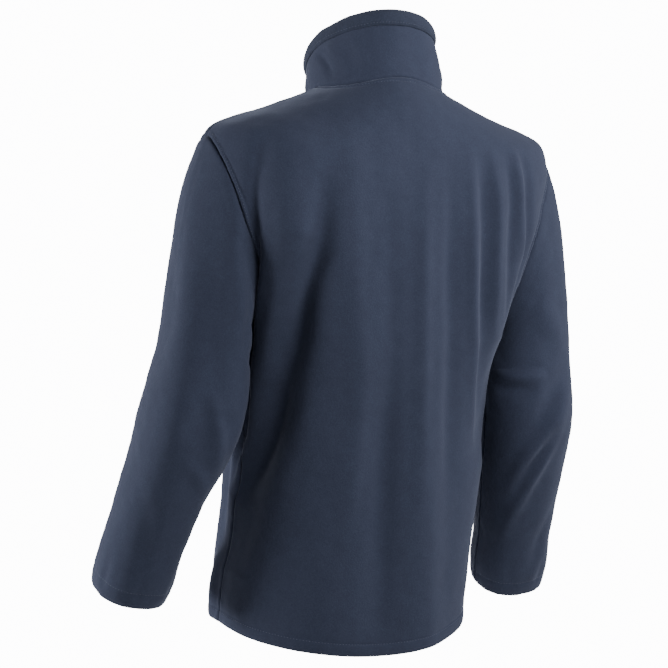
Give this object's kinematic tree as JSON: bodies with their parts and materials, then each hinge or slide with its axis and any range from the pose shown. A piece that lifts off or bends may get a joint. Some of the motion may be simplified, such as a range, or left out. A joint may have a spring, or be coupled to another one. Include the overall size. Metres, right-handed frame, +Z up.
{
  "type": "fleece zip jacket",
  "caption": "Worn, hollow fleece jacket with set-in sleeves, a stand collar with a bound top edge, and a full-length front zip.",
  "frame": {"origin": "midway between the two side neck points, where the shoulder seams meet the neck seam and the wearer's shoulders carry the jacket", "axes": "+Z up, -Y towards the jacket's front, +Y towards its back, +X towards the wearer's left"},
  "size_m": [0.6282, 0.2482, 0.7696],
  "materials": {
    "fleece": "matt navy polyester fleece with a short, dense nap",
    "band_fleece": "the same navy fleece, folded round the collar's edge",
    "zip_tape": "dark navy woven polyester tape",
    "zip_plastic": "satin moulded plastic, near-black navy",
    "zip_metal": "dark painted die-cast metal, satin"
  },
  "bodies": {
    "jacket": {"back": "fleece", "front_left": "fleece", "front_right": "fleece", "sleeve_left": "fleece", "sleeve_right": "fleece", "collar": "fleece", "collar_band": "band_fleece", "zip_tape_left": "zip_tape", "zip_tape_right": "zip_tape", "zip_chain": "zip_plastic", "zip_box": "zip_plastic", "zip_slider": "zip_metal"},
    "pull_tab": {"zip_pull": "zip_metal"}
  },
  "joints": [
    {"name": "pull_swing", "type": "hinge", "parent": "jacket", "child": "pull_tab", "pos_m": [0, -0.1073, -0.0147], "axis": [-1, 0, 0], "range_deg": [0, 150]}
  ]
}
